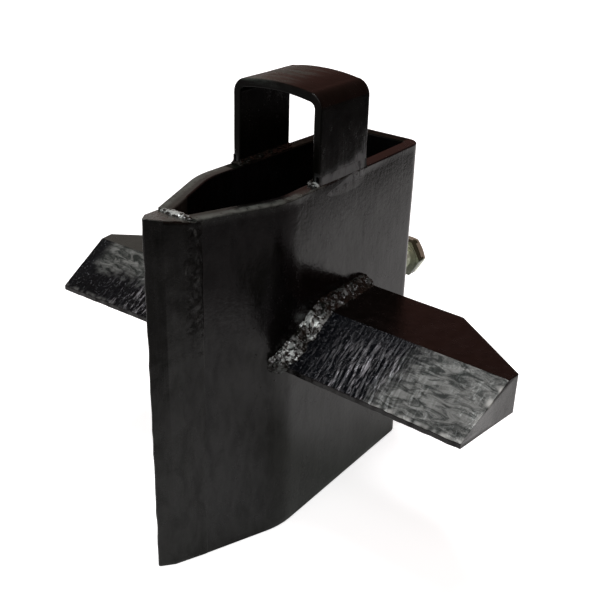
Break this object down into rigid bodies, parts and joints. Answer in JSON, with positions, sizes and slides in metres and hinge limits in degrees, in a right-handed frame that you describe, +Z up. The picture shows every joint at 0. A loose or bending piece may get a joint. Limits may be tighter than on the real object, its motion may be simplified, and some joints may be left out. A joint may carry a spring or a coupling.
{
  "type": "slip-on splitting wedge",
  "caption": "Steel sleeve with a bevelled solid nose, side wings, a lifting handle and a clamping set bolt, that slips over a log splitter's wedge to split wood crosswise.",
  "frame": {"origin": "under the middle of the whole object, on the plane that the sleeve stands on", "axes": "+Z up along the sleeve, -Y towards the cutting nose, +Y towards the set bolt, +X and -X along the two wings"},
  "size_m": [0.2958, 0.247, 0.253],
  "materials": {
    "black_enamel": "gloss",
    "nose_enamel": "gloss",
    "wing_enamel": "gloss over a flame-cut face",
    "weld_enamel": "gloss over weld ripples",
    "zinc_plate": "zinc plated"
  },
  "bodies": {
    "sleeve": {"sleeve_plate": "black_enamel", "nose_bar": "nose_enamel", "nose_cap_weld": "weld_enamel", "seam_weld_right": "weld_enamel", "seam_weld_left": "weld_enamel", "wing_right": "wing_enamel", "wing_left": "wing_enamel", "wing_weld_right": "weld_enamel", "wing_weld_left": "weld_enamel", "handle_strap": "black_enamel", "handle_weld_right": "weld_enamel", "handle_weld_left": "weld_enamel", "anchor_nut": "black_enamel", "nut_weld": "weld_enamel"},
    "set_bolt": {"set_bolt": "zinc_plate"}
  },
  "joints": [
    {"name": "set_bolt_travel", "type": "slide", "parent": "sleeve", "child": "set_bolt", "axis": [0, 1, 0], "range_m": [-0.02, 0.03]}
  ]
}
